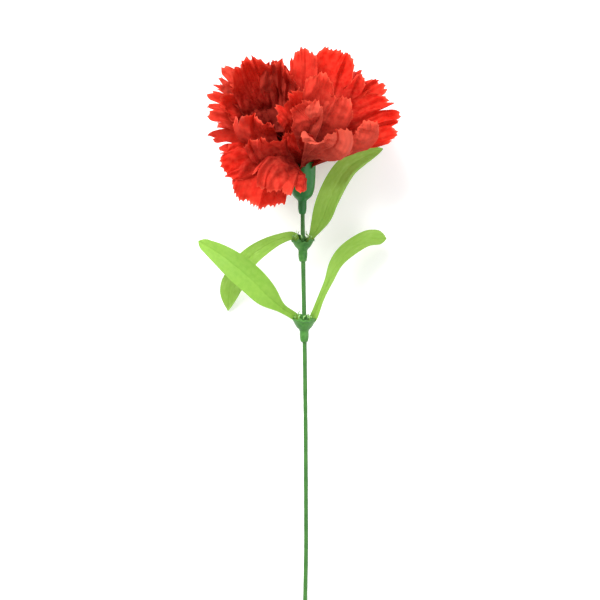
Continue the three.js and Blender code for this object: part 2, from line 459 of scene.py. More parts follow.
class SharedEffects:
    """Shader node groups that several finishes use, each built once.

    Attributes:
        thread_gap: Height of the weave below which a gap shows.
        mottle_band: Noise values between which a patch grows to its full strength.
        streak_band: Noise values between which a line does.
    """

    thread_gap: float = 0.6
    mottle_band: tuple[float, float] = (0.38, 0.62)
    streak_band: tuple[float, float] = (0.4, 0.64)

    def __init__(self) -> None:
        """Builds the groups."""
        self.weave = self._weave()
        self.mottle = self._mottle()
        self.streaks = self._streaks()

    def _weave(self) -> bpy.types.NodeTree:
        """Plain weave over the flat cut: thread height and thread gaps.

        Returns:
            The finished group.
        """
        wires, given, result = new_group("Plain weave", ("Pitch",), ("Height", "Gap"))
        flat = wires.flat_cut()
        waves = []
        for axis in (0, 1):
            turns = wires.math("DIVIDE", flat[axis], given.outputs["Pitch"])
            waves.append(wires.math("SINE", wires.math("MULTIPLY", turns, 2 * math.pi)))
        crossing = wires.math("MULTIPLY", *waves)
        spread = wires.math("MAXIMUM", *(wires.math("ABSOLUTE", wave) for wave in waves))
        wires.feed(result.inputs["Height"], wires.span(crossing, -1, 1))
        wires.feed(result.inputs["Gap"], wires.span(spread, 0, self.thread_gap, 1, 0))
        return wires.tree

    def _mottle(self) -> bpy.types.NodeTree:
        """Soft uneven patches through the piece.

        Returns:
            The finished group.
        """
        wires, given, result = new_group("Mottle", ("Scale", "Detail"), ("Mask",))
        noise = wires.put("ShaderNodeTexNoise")
        wires.feed(noise.inputs["Vector"], wires.put("ShaderNodeTexCoord").outputs["Object"])
        for key in ("Scale", "Detail"):
            wires.feed(noise.inputs[key], given.outputs[key])
        wires.feed(result.inputs["Mask"], wires.span(noise.outputs["Fac"], *self.mottle_band))
        return wires.tree

    def _streaks(self) -> bpy.types.NodeTree:
        """Fine lines that run along the flat cut from its foot.

        Returns:
            The finished group.
        """
        wires, given, result = new_group("Streaks", ("Across", "Along"), ("Mask",))
        flat = wires.flat_cut()
        place = wires.put("ShaderNodeCombineXYZ")
        for axis, name in enumerate(("Across", "Along")):
            wires.feed(place.inputs[axis], wires.math("MULTIPLY", flat[axis], given.outputs[name]))
        noise = wires.put("ShaderNodeTexNoise")
        wires.fill(noise, {"Vector": place.outputs[0], "Scale": 1.0, "Detail": 3.0})
        wires.feed(result.inputs["Mask"], wires.span(noise.outputs["Fac"], *self.streak_band))
        return wires.tree


def new_material(name: str) -> tuple[bpy.types.Material, Wiring, bpy.types.Node, bpy.types.Node]:
    """Makes a node material.

    Args:
        name: The material's name.

    Returns:
        The material, its wiring, its Principled node and its output node.
    """
    material = bpy.data.materials.new(name)
    material.use_nodes = True
    nodes = {n.type: n for n in material.node_tree.nodes}
    return material, Wiring(material.node_tree), nodes["BSDF_PRINCIPLED"], nodes["OUTPUT_MATERIAL"]


@dataclass(frozen=True)
class FabricFinish:
    """Dyed woven polyester that lets some light through.

    Attributes:
        name: The material's name.
        deep: Colour at the sheet's foot, on the petals painted shade of the hollow round the calyx.
        body: Colour of most of the sheet.
        edge: Colour of the cut edge and the fine grain; on the petals painted light glowing in the
            rim.
        painted_sheen: Pale pink of the sheen painted on sheets with a positive painted light.
        glow: Colour of light that passes through.
        through: Share of light that passes through.
        pitch: Distance between threads, in millimetres.
        thread_height: Depth of the weave, in millimetres.
        sheen: Strength of the nap's pale sheen.
        shine: Strength of its reflections.
        patch: Strength of its darker patches.
        streak: Strength of the lines along it and of its fine grain.
        roughness: Roughness of the smoothest patches.
        gap: Strength of the shade between threads.
        rim: Strength of the cut edge's colour, which on the petals is painted light.
    """

    name: str
    deep: Colour
    body: Colour
    edge: Colour
    painted_sheen: Colour
    glow: Colour
    through: float
    pitch: float
    thread_height: float
    sheen: float
    shine: float
    patch: float
    streak: float
    roughness: float
    gap: float = 0.3
    rim: float = 0.5

    def build(self, effects: SharedEffects) -> bpy.types.Material:
        """Builds the material.

        Args:
            effects: The shared node groups.

        Returns:
            The new material.
        """
        material, wires, surface, output = new_material(self.name)
        weave = wires.place(effects.weave, Pitch=self.pitch)
        patches = wires.place(effects.mottle, Scale=70.0, Detail=3.0).outputs[0]
        grain = wires.place(effects.mottle, Scale=420.0, Detail=2.0).outputs[0]
        lines = wires.place(effects.streaks, Across=0.9, Along=0.16).outputs[0]
        reach, rim, painted_light = (
            wires.put("ShaderNodeAttribute", attribute_name=name).outputs["Fac"]
            for name in (REACH_NAME, RIM_NAME, PAINTED_LIGHT_NAME)
        )
        # Light painted over the whole sheet: a pale pink painted sheen above 0, painted shade in
        # the deep colour below 0.
        colour = wires.mix(wires.span(painted_light, 0, 1), self.body, self.painted_sheen)
        colour = wires.mix(wires.span(painted_light, -1, 0, 1, 0), colour, self.deep)
        # Darker towards the foot; on the petals this is painted shade in the hollow round the
        # calyx.
        colour = wires.mix(wires.span(reach, 0.2, 0.95), self.deep, colour)
        # Patches, lines and grain are the cloth's own; thread gaps take painted shade, and the
        # petals' edge colour is painted light in the rim.
        for mask, strength, shade in (
            (patches, self.patch, self.deep),
            (lines, self.streak, self.deep),
            (grain, self.streak, self.edge),
            (weave.outputs["Gap"], self.gap, self.deep),
            (rim, self.rim, self.edge),
        ):
            colour = wires.mix(wires.math("MULTIPLY", mask, strength), colour, shade)
        normal = wires.bump(weave.outputs["Height"], self.thread_height, 0.8)
        values = {
            "Base Color": colour,
            "Roughness": wires.span(patches, 0, 1, self.roughness, self.roughness + 0.2),
            "Specular IOR Level": self.shine,
            "Sheen Weight": self.sheen,
            "Sheen Roughness": 0.4,
            "Normal": normal,
        }
        wires.fill(surface, values)
        lit = wires.put("ShaderNodeBsdfTranslucent")
        wires.fill(lit, {"Color": (*self.glow, 1.0), "Normal": normal})
        both = wires.put("ShaderNodeMixShader")
        for socket, value in zip(both.inputs, (self.through, surface.outputs[0], lit.outputs[0])):
            wires.feed(socket, value)
        wires.feed(output.inputs["Surface"], both.outputs[0])
        return material


@dataclass(frozen=True)
class PlasticFinish:
    """Satin moulded plastic with slight flow marks and rubbed high spots.

    Attributes:
        name: The material's name.
        body: Main colour.
        rubbed: Paler colour of the patches.
        roughness: Roughness of the smoothest patches.
        grain: Depth of the surface's unevenness, in millimetres.
    """

    name: str
    body: Colour
    rubbed: Colour
    roughness: float
    grain: float

    def build(self, effects: SharedEffects) -> bpy.types.Material:
        """Builds the material.

        Args:
            effects: The shared node groups.

        Returns:
            The new material.
        """
        material, wires, surface, _ = new_material(self.name)
        patches = wires.place(effects.mottle, Scale=160.0, Detail=4.0).outputs[0]
        grain = wires.place(effects.mottle, Scale=900.0, Detail=2.0).outputs[0]
        colour = wires.mix(wires.math("MULTIPLY", patches, 0.4), self.body, self.rubbed)
        colour = wires.mix(wires.math("MULTIPLY", grain, 0.2), colour, self.rubbed)
        values = {
            "Base Color": colour,
            "Roughness": wires.span(grain, 0, 1, self.roughness, self.roughness + 0.15),
            "Specular IOR Level": 0.35,
            "Normal": wires.bump(grain, self.grain, 0.6),
        }
        wires.fill(surface, values)
        return material


@dataclass(frozen=True)
class WireFinish:
    """Drawn steel wire, dull, with fine lengthwise variation.

    Attributes:
        bright: Colour of the bare metal.
        dull: Colour of its oxide.
    """

    bright: Colour = (0.55, 0.54, 0.52)
    dull: Colour = (0.22, 0.2, 0.18)

    def build(self, effects: SharedEffects) -> bpy.types.Material:
        """Builds the material.

        Args:
            effects: The shared node groups.

        Returns:
            The new material.
        """
        material, wires, surface, _ = new_material("Drawn wire")
        patches = wires.place(effects.mottle, Scale=700.0, Detail=3.0).outputs[0]
        values = {
            "Base Color": wires.mix(patches, self.bright, self.dull),
            "Roughness": wires.span(patches, 0, 1, 0.3, 0.6),
            "Metallic": 1.0,
        }
        wires.fill(surface, values)
        return material


@dataclass(frozen=True)
class Finishes:
    """Every material of the flower.

    Attributes:
        petal: Red petal fabric.
        leaf: Green leaf fabric.
        calyx: Dark green plastic.
        collar: Mid green plastic.
        cover: The stem's plastic cover.
        wire: The stem's wire.
        thread: Thin torn plastic.
    """

    petal: bpy.types.Material
    leaf: bpy.types.Material
    calyx: bpy.types.Material
    collar: bpy.types.Material
    cover: bpy.types.Material
    wire: bpy.types.Material
    thread: bpy.types.Material

    @classmethod
    def make(cls) -> "Finishes":
        """Builds all materials.

        Returns:
            The finished set.
        """
        effects = SharedEffects()
        return cls(
            petal=FabricFinish(
                name="Red petal fabric",
                # Deep red of the painted shade at the foot and of the darker patches and lines.
                deep=(0.13, 0.001, 0.001),
                body=(0.80, 0.018, 0.007),
                # Bright orange of the grain and of the painted light glowing in the rim.
                edge=(0.92, 0.13, 0.07),
                # Pale pink painted sheen.
                painted_sheen=(0.76, 0.12, 0.075),
                glow=(0.85, 0.02, 0.005),
                through=0.14,
                pitch=0.9,
                thread_height=0.12,
                sheen=0.0,
                shine=0.08,
                patch=0.22,
                streak=0.14,
                roughness=0.6,
            ).build(effects),
            leaf=FabricFinish(
                name="Green leaf fabric",
                # Deep green of the foot, the patches and the lines, also the painted shade of the
                # darker leaves.
                deep=(0.14, 0.32, 0.03),
                body=(0.43, 0.62, 0.16),
                edge=(0.22, 0.4, 0.055),
                painted_sheen=(0.4, 0.6, 0.2),
                glow=(0.36, 0.62, 0.08),
                through=0.3,
                pitch=0.8,
                thread_height=0.1,
                sheen=0.05,
                shine=0.3,
                patch=0.45,
                streak=0.6,
                roughness=0.55,
            ).build(effects),
            calyx=PlasticFinish(
                "Calyx plastic", (0.012, 0.13, 0.022), (0.03, 0.2, 0.04), roughness=0.3, grain=0.05
            ).build(effects),
            collar=PlasticFinish(
                "Collar plastic", (0.03, 0.16, 0.02), (0.13, 0.36, 0.07), roughness=0.32, grain=0.12
            ).build(effects),
            cover=PlasticFinish(
                "Stem cover plastic",
                (0.03, 0.14, 0.02),
                (0.08, 0.25, 0.045),
                roughness=0.36,
                grain=0.08,
            ).build(effects),
            thread=PlasticFinish(
                "Torn plastic", (0.28, 0.56, 0.16), (0.52, 0.77, 0.36), roughness=0.4, grain=0.05
            ).build(effects),
            wire=WireFinish().build(effects),
        )


# ---------------------------------------------------------------- frame


STEM_WIDTH = 2.3
COLLAR_BELOW_MOUTH = {"collar_upper": 36.0, "collar_lower": 76.5}


@dataclass(frozen=True)
class Anchors:
    """Places of the part that the dressing hangs on, in millimetres.

    Attributes:
        mouth: Middle of the calyx's mouth.
        along: Unit vector up the stem.
        rims: Middle of each collar's rim, by node name.
    """

    mouth: np.ndarray
    along: np.ndarray
    rims: dict[str, np.ndarray]

    @classmethod
    def measure(cls) -> "Anchors":
        """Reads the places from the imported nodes.

        Returns:
            The places.
        """
        low, high = (np.array(corner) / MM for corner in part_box("stem_cover"))
        rise = math.atan2(high[2] - low[2] - STEM_WIDTH, high[1] - low[1])
        along = np.array([0.0, math.cos(rise), math.sin(rise)])
        low, high = (np.array(corner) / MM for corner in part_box("calyx"))
        radius = (high[0] - low[0]) / 2
        y, z = high[1] - radius * math.sin(rise), high[2] - radius * math.cos(rise)
        mouth = np.array([(low[0] + high[0]) / 2, y, z])
        rims = {}
        for node, below in COLLAR_BELOW_MOUTH.items():
            low, high = (np.array(corner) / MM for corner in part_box(node))
            at = mouth - along * below / math.cos(rise)
            rims[node] = np.array([(low[0] + high[0]) / 2, at[1], at[2]])
        return cls(mouth, along, rims)


# ---------------------------------------------------------------- stem and mouldings


BORE = STEM_WIDTH / 2 + 0.3
OUTLINE_STEP = 0.45
RIBBED_FROM = 3.0
TEAR_BAND = (-5.0, -0.5)
TURN_LENGTH = 5
SOFTENING_ROUNDS = 3


@dataclass
class Moulding:
    """A round moulded piece on the stem.

    Attributes:
        node: CAD node that it stands for.
        slot: The record's slot of its finish.
        profile: Rows of radius and height, closed from bore to bore.
        lobes: Number of shallow ribs round it.
        rib: Height of the ribs, in millimetres.
        torn: How far the rim is torn down at the top, in millimetres.
        sides: Steps round it.
    """

    node: str
    slot: Slot
    profile: tuple[tuple[float, float], ...]
    lobes: int = 0
    rib: float = 0.0
    torn: float = 0.0
    sides: int = 96

    def build(
        self, foot: np.ndarray, along: np.ndarray, material: bpy.types.Material
    ) -> bpy.types.Object:
        """Turns the profile round the stem.

        Args:
            foot: Where height 0 lies, in millimetres.
            along: Unit vector up the stem.
            material: What it is made of.

        Returns:
            The finished piece.
        """
        knots = np.array(self.profile)
        steps = np.linalg.norm(np.diff(knots, axis=0), axis=1)
        outline = [knots[0]]
        for a, b, step in zip(knots, knots[1:], steps):
            count = max(1, round(step / OUTLINE_STEP))
            outline += [a + (b - a) * (k + 1) / count for k in range(count)]
        ring = self._soften(np.array(outline))
        turn = np.linspace(0, 2 * math.pi, self.sides, endpoint=False)
        across, upward = crossways(along)
        radius = ring[:, :1]
        ribs = self.rib * np.cos(self.lobes * turn)[None, :]
        waves = 1 + ribs / np.maximum(radius, 1) * (radius > RIBBED_FROM)
        spokes = np.cos(turn)[:, None] * across + np.sin(turn)[:, None] * upward
        height = np.repeat(ring[:, 1:], self.sides, axis=1)
        if self.torn:
            ragged = 0.8 + 0.3 * np.sin(turn) + 0.16 * np.sin(5 * turn + 1)
            ragged = ragged + 0.14 * np.sin(11 * turn + 2)
            height = height - self.torn * ragged * smooth(height, *TEAR_BAND)
        points = foot + (radius * waves)[:, :, None] * spokes[None] + height[..., None] * along
        down = np.arange(len(ring))[:, None] * OUTLINE_STEP
        cut = np.stack(np.broadcast_arrays(turn[None, :] * TURN_LENGTH, down), axis=-1)
        flat = np.zeros(points.shape[:2])
        piece = Grid(points, cut, flat, flat, closed=True).build(f"{self.node}_moulded", material)
        keep(piece, self.slot, self.node)
        return piece

    @staticmethod
    def _soften(outline: np.ndarray) -> np.ndarray:
        """Rounds the outline's corners a little, with its ends held.

        Args:
            outline: Rows of radius and height.

        Returns:
            The same rows, softened.
        """
        for _ in range(SOFTENING_ROUNDS):
            outline[1:-1] = 0.25 * outline[:-2] + 0.5 * outline[1:-1] + 0.25 * outline[2:]
        return outline


BEND_WINDOW = 41
LUMP_WINDOW = 9
LUMP_SEED = 11


@dataclass
class Stem:
    """The covered wire.

    Attributes:
        radius: Outer radius of the cover.
        bore: Radius of the hole for the wire.
        length: Length along the table from the cut end.
        bends: Share of the length and sideways place of each bend.
        uneven: Depth of the cover's slight lumps.
        sides: Steps round it.
        steps: Steps along it.
    """

    radius: float = STEM_WIDTH / 2
    bore: float = 0.8
    length: float = 231.0
    bends: tuple[tuple[float, float], ...] = (
        (0, -0.2),
        (0.18, 0.65),
        (0.45, 0.4),
        (0.66, -0.2),
        (0.84, -1.0),
        (1, -1.35),
    )
    uneven: float = 0.07
    sides: int = 40
    steps: int = 460

    def centreline(self, anchors: Anchors) -> np.ndarray:
        """Points down the middle of the stem, from its cut end.

        Args:
            anchors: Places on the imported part.

        Returns:
            The points, in millimetres.
        """
        low, _ = (np.array(corner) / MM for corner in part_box("stem_cover"))
        share = np.linspace(0, 1, self.steps)
        table = np.array(self.bends)
        x = np.interp(share, table[:, 0], table[:, 1])
        window = np.ones(BEND_WINDOW) / BEND_WINDOW
        x = np.convolve(np.pad(x, BEND_WINDOW // 2, mode="edge"), window, mode="valid")
        slope = anchors.along[2] / anchors.along[1]
        start = low[1] + self.radius * anchors.along[2]
        y = start + share * self.length
        z = self.radius + (y - start) * slope
        return np.stack([x + anchors.mouth[0] - self.bends[-1][1], y, z], axis=-1)

    def build(self, anchors: Anchors, material: bpy.types.Material) -> bpy.types.Object:
        """Sweeps the cover along the centreline.

        Args:
            anchors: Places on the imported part.
            material: What the cover is made of.

        Returns:
            The finished piece.
        """
        line = self.centreline(anchors)
        tangent = unit(np.gradient(line, axis=0))
        across, upward = crossways(tangent)
        turn = np.linspace(0, 2 * math.pi, self.sides, endpoint=False)
        cosine, sine = np.cos(turn)[None, :, None], np.sin(turn)[None, :, None]
        spokes = cosine * across[:, None] + sine * upward[:, None]
        rng = np.random.default_rng(LUMP_SEED)
        noise = rng.normal(0, 1, self.steps + LUMP_WINDOW - 1)
        lumps = np.convolve(noise, np.ones(LUMP_WINDOW) / LUMP_WINDOW, mode="valid")
        radius = self.radius + self.uneven * (lumps - 1)
        skin = line[:, None] + radius[:, None, None] * spokes
        hole = line[:, None] + self.bore * spokes
        rows = np.concatenate([hole[::-1], skin, hole[-1:]])
        share = np.linspace(0, self.length, len(rows))
        cut = np.stack(np.broadcast_arrays(turn[None, :], share[:, None]), axis=-1)
        flat = np.zeros(rows.shape[:2])
        piece = Grid(rows, cut, flat, flat, closed=True).build("stem_cover_smooth", material)
        keep(piece, Slot.COVER, "stem_cover")
        return piece


@dataclass(frozen=True)
class Flash:
    """Thin curled threads of torn plastic round a collar's rim.

    Attributes:
        collar: Collar that they hang on.
        seed: Chooses their curls.
        count: Number of threads.
        radius: Half of a thread's thickness.
        start: Distance of their feet from the collar's middle.
        below: Depth of their feet under the rim.
        steps: Steps along a thread.
        sides: Steps round it.
    """

    collar: str
    seed: int
    count: int = 11
    radius: float = 0.3
    start: float = 4.9
    below: float = 2.6
    steps: int = 22
    sides: int = 6

    def build(
        self, rim: np.ndarray, along: np.ndarray, material: bpy.types.Material
    ) -> bpy.types.Object:
        """Makes the threads as one mesh.

        Args:
            rim: Middle of the collar's rim.
            along: Unit vector up the stem.
            material: What they are made of.

        Returns:
            The finished piece.
        """
        rng = np.random.default_rng(self.seed)
        across, upward = crossways(along)
        t = np.linspace(0, 1, self.steps)
        ring = np.linspace(0, 2 * math.pi, self.sides, endpoint=False)
        thick = self.radius * np.sin(math.pi * np.clip(0.06 + 0.9 * t, 0, 1)) ** 0.5
        flat = np.zeros((self.steps, self.sides))
        cut = np.zeros((self.steps, self.sides, 2))
        grids = []
        for k in range(self.count):
            turn = 2 * math.pi * (k + rng.uniform(-0.3, 0.3)) / self.count
            angle = turn + rng.uniform(-0.5, 0.5) * t
            radius = self.start + rng.uniform(-1.6, 0.6) * t + 0.5 * np.sin(rng.uniform(3, 7) * t)
            height = -self.below + rng.uniform(1.2, 3.8) * t + 0.6 * np.sin(rng.uniform(4, 8) * t)
            spoke = np.cos(angle)[:, None] * across + np.sin(angle)[:, None] * upward
            line = rim + radius[:, None] * spoke + height[:, None] * along
            tangent = unit(np.gradient(line, axis=0))
            one = unit(np.cross(tangent, spoke))
            two = np.cross(tangent, one)
            cosine, sine = np.cos(ring)[None, :, None], np.sin(ring)[None, :, None]
            tube = cosine * one[:, None] + 0.5 * sine * two[:, None]
            points = line[:, None] + thick[:, None, None] * tube
            grids.append(Grid(points, cut, flat, flat, closed=True))
        piece = join_grids(f"{self.collar}_threads", grids, material)
        keep(piece, Slot.COLLAR)
        return piece


CALYX = Moulding(
    node="calyx",
    slot=Slot.CALYX,
    profile=(
        (BORE, -27.0),
        (1.75, -27.0),
        (2.15, -24.6),
        (2.2, -20.2),
        (3.4, -19.4),
        (4.9, -17.8),
        (5.8, -15.2),
        (6.3, -12.0),
        (6.5, -8.0),
        (6.6, -4.0),
        (6.6, -0.4),
        (6.3, 0.0),
        (5.9, -0.2),
        (5.8, -3.9),
        (BORE, -3.9),
        (BORE, -27.0),
    ),
    lobes=5,
    rib=0.12,
)

COLLAR_PROFILE = (
    (BORE, -14.8),
    (1.8, -14.8),
    (2.15, -13.2),
    (2.35, -10.6),
    (2.1, -9.2),
    (2.7, -8.4),
    (3.9, -6.8),
    (5.0, -4.8),
    (5.6, -2.4),
    (5.8, 0.0),
    (5.3, 0.0),
    (4.5, -4.2),
    (3.4, -6.0),
    (2.4, -6.9),
    (BORE, -7.1),
    (BORE, -14.8),
)


# ---------------------------------------------------------------- leaves


STALK_ROWS = ((2.9, -5.2, -0.2, 1.4), (4.9, -1.8, 0.5, 2.0))
LEAST_HALF_WIDTH = 0.15
LEAST_HEIGHT = 0.15
MIDRIB_DEPTH = 0.25
MIDRIB_WIDTH = 0.06
FOLD_INWARD = 0.62
FOLD_DOWN = 0.85


@dataclass(frozen=True)
class Leaf:
    """One fabric leaf.

    Attributes:
        node: CAD node that it stands for.
        collar: Collar that holds its stalk.
        side: Side of the stem that it starts on.
        rows: X, Y, Z from the collar's rim, half width and roll in degrees.
        gutter: Depth of its gutter as a share of the half width.
        fold: Place across it of a sharp lengthwise fold, from -1 to 1, or 0.
        blunt: Shape of its tip, 1 for pointed and less for rounder.
        painted_light: Shade painted over the whole leaf, from -1 for the deepest to 0.
        seed: Chooses its own small waves.
    """

    node: str
    collar: str
    side: Side
    rows: tuple[tuple[float, float, float, float, float], ...]
    gutter: float
    fold: float
    blunt: float
    painted_light: float
    seed: int

    def surface(self, rim: np.ndarray, steps: int = 150, across: int = 40) -> Grid:
        """Bends the flat cut along the leaf's line.

        Args:
            rim: Middle of the collar's rim.
            steps: Steps along the leaf.
            across: Steps across it.

        Returns:
            The leaf's sheet.
        """
        stalk = [(self.side.value * x, y, z, half, 0) for x, y, z, half in STALK_ROWS]
        t = np.linspace(0, 1, steps)
        table = catmull(np.array([*stalk, *self.rows], float), t)
        line = table[:, :3]
        tangent = unit(np.gradient(line, axis=0))
        up = unit(np.array(UP) - tangent * tangent[:, 2:])
        side = np.cross(tangent, up)
        roll = np.radians(table[:, 4])[:, None]
        cosine, sine = np.cos(roll), np.sin(roll)
        side, up = side * cosine + up * sine, up * cosine - side * sine
        u = np.linspace(-1, 1, across)
        knots = len(stalk) + len(self.rows)
        last = np.clip(t * (knots - 1) - (knots - 2), 0, 1)
        width = np.where(last > 0, self.rows[-2][3] * (1 - last**1.5) ** self.blunt, table[:, 3])
        half = np.maximum(width, LEAST_HALF_WIDTH)[:, None]
        phase = np.random.default_rng(self.seed).uniform(0, 2 * math.pi, 4)
        down = t[:, None]
        waves = 0.35 * np.sin(9 * down + phase[0] + 2 * u)
        waves = waves + 0.2 * np.sin(23 * down + phase[1] - 3 * u)
        waves = waves * np.abs(u) * smooth(t, 0.1, 0.5)[:, None]
        midrib = MIDRIB_DEPTH * np.exp(-((u / MIDRIB_WIDTH) ** 2))[None, :]
        crease = midrib * smooth(t, 0.05, 0.2)[:, None]
        lift = self.gutter * half * np.abs(u) ** 1.3 + waves - crease
        spread = half * u
        if self.fold:
            way = math.copysign(1, self.fold)
            past = np.maximum((u - self.fold) * way, 0)[None, :]
            spread = spread - way * FOLD_INWARD * half * past
            lift = lift - FOLD_DOWN * half * past
        offset = spread[:, :, None] * side[:, None] + lift[:, :, None] * up[:, None]
        points = rim + line[:, None] + offset
        points[:, :, 2] = np.maximum(points[:, :, 2], LEAST_HEIGHT)
        length = np.concatenate([[0], np.cumsum(np.linalg.norm(np.diff(line, axis=0), axis=1))])
        cut = np.stack(np.broadcast_arrays(half * u, length[:, None]), axis=-1)
        reach = np.broadcast_to(0.35 + 0.65 * down, points.shape[:2])
        edge = np.broadcast_to(smooth(np.abs(u), 0.94, 1.0)[None, :], points.shape[:2])
        # The leaf's painted light lays painted shade over all of it.
        return Grid(points, cut, reach, edge, painted_light=self.painted_light)

    def build(self, anchors: Anchors, material: bpy.types.Material) -> bpy.types.Object:
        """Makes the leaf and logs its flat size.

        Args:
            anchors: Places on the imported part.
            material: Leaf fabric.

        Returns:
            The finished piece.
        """
        grid = self.surface(anchors.rims[self.collar])
        piece = grid.build(f"{self.node}_fabric", material)
        keep(piece, Slot.LEAF, self.node)
        declare_sheet(piece, grid)
        return piece


LEAST_SIDE = 0.01
LEAST_SHARE = 0.31


def declare_sheet(piece: bpy.types.Object, grid: Grid) -> None:
    """Works out a sheet's flat size and area, and logs the size.

    Args:
        piece: The finished sheet.
        grid: Its points and its flat cut.
    """
    width = float(np.ptp(grid.cut[:, :, 0])) * MM
    length = float(np.ptp(grid.cut[:, :, 1])) * MM
    a = grid.cut[1:, 1:] - grid.cut[:-1, :-1]
    b = grid.cut[1:, :-1] - grid.cut[:-1, 1:]
    area = float(np.abs(a[..., 0] * b[..., 1] - a[..., 1] * b[..., 0]).sum() / 2) * MM**2
    flat = (max(width, LEAST_SIDE), max(length, LEAST_SIDE))
    whole = flat[0] * flat[1]
    area = min(max(area, LEAST_SHARE * whole), whole)
    log.info("sheet %s is cut to %.0f by %.0f mm", piece.name, flat[0] / MM, flat[1] / MM)


# Below 0, a leaf's painted light darkens all of it as painted shade.
LEAVES = (
    Leaf(
        "leaf_upper_right",
        "collar_upper",
        Side.RIGHT,
        rows=(
            (9.8, 7.2, 0.5, 5.4, 6),
            (13.4, 16.5, -1.5, 6.3, 10),
            (18, 26, -5.5, 6.5, 12),
            (23.5, 33.5, -10, 5.9, 12),
            (31.5, 39, -15, 4.4, 10),
            (41, 43.2, -19, 0.5, 5),
        ),
        gutter=0.2,
        fold=0.62,
        blunt=0.8,
        painted_light=-0.1,
        seed=2,
    ),
    Leaf(
        "leaf_upper_left",
        "collar_upper",
        Side.LEFT,
        rows=(
            (-11.4, -3.3, 0.9, 2.7, 0),
            (-19.4, -7.2, -3, 4.0, 0),
            (-27.4, -13, -9, 4.9, 0),
            (-33.2, -21, -15.5, 5.6, 0),
            (-37.2, -29, -21.3, 5.2, 0),
            (-38.5, -39.7, -25.4, 0.5, 0),
        ),
        gutter=0.2,
        fold=0.0,
        blunt=1.0,
        painted_light=-0.2,
        seed=3,
    ),
    Leaf(
        "leaf_lower_left",
        "collar_lower",
        Side.LEFT,
        rows=(
            (-11.6, 2.6, 4.6, 2.5, 0),
            (-19.0, 9.0, 7.4, 6.0, 0),
            (-26.2, 16.3, 7.1, 7.0, 0),
            (-33.6, 22.6, 5.1, 6.8, 0),
            (-41, 28.4, 2.1, 5.6, 0),
            (-48.6, 33.4, -1.9, 3.5, 0),
            (-53.6, 36.6, -4.9, 0.5, 0),
        ),
        gutter=0.22,
        fold=0.0,
        blunt=0.7,
        painted_light=-0.8,
        seed=4,
    ),
    Leaf(
        "leaf_lower_right",
        "collar_lower",
        Side.RIGHT,
        rows=(
            (8.3, 7.0, 2.2, 1.8, 10),
            (12.2, 15.5, 3.0, 2.3, 25),
            (16.2, 24, 1.1, 3.8, 38),
            (22.4, 30.8, -2.4, 5.4, 42),
            (29.4, 35.6, -6.4, 5.4, 38),
            (36.4, 38, -9.4, 4.6, 25),
            (41.9, 38.0, -10.9, 0.5, 15),
        ),
        gutter=0.25,
        fold=0.0,
        blunt=0.75,
        painted_light=-0.35,
        seed=5,
    ),
)


# ---------------------------------------------------------------- petals


CLAW_DEPTH = 3.6
FOOT_RADIUS = 3.4
CLAW_SHARE = 0.2
GATHER = 1.15
TOOTH_PITCH = 1.9
TOOTH_DEPTH = 1.3
POINT_PITCH = 4.6
LOBE_DEPTH = 0.16
LOBED_WIDTH = 14.0
CRUMPLE = 0.34
CRUMPLE_SPANS = (19.0, 15.0, 12.0, 9.5, 7.5, 5.5, 4.0)
CURL = 3.2
PRESS_HEIGHT = 2.0
LEAST_PETAL_HEIGHT = 0.2


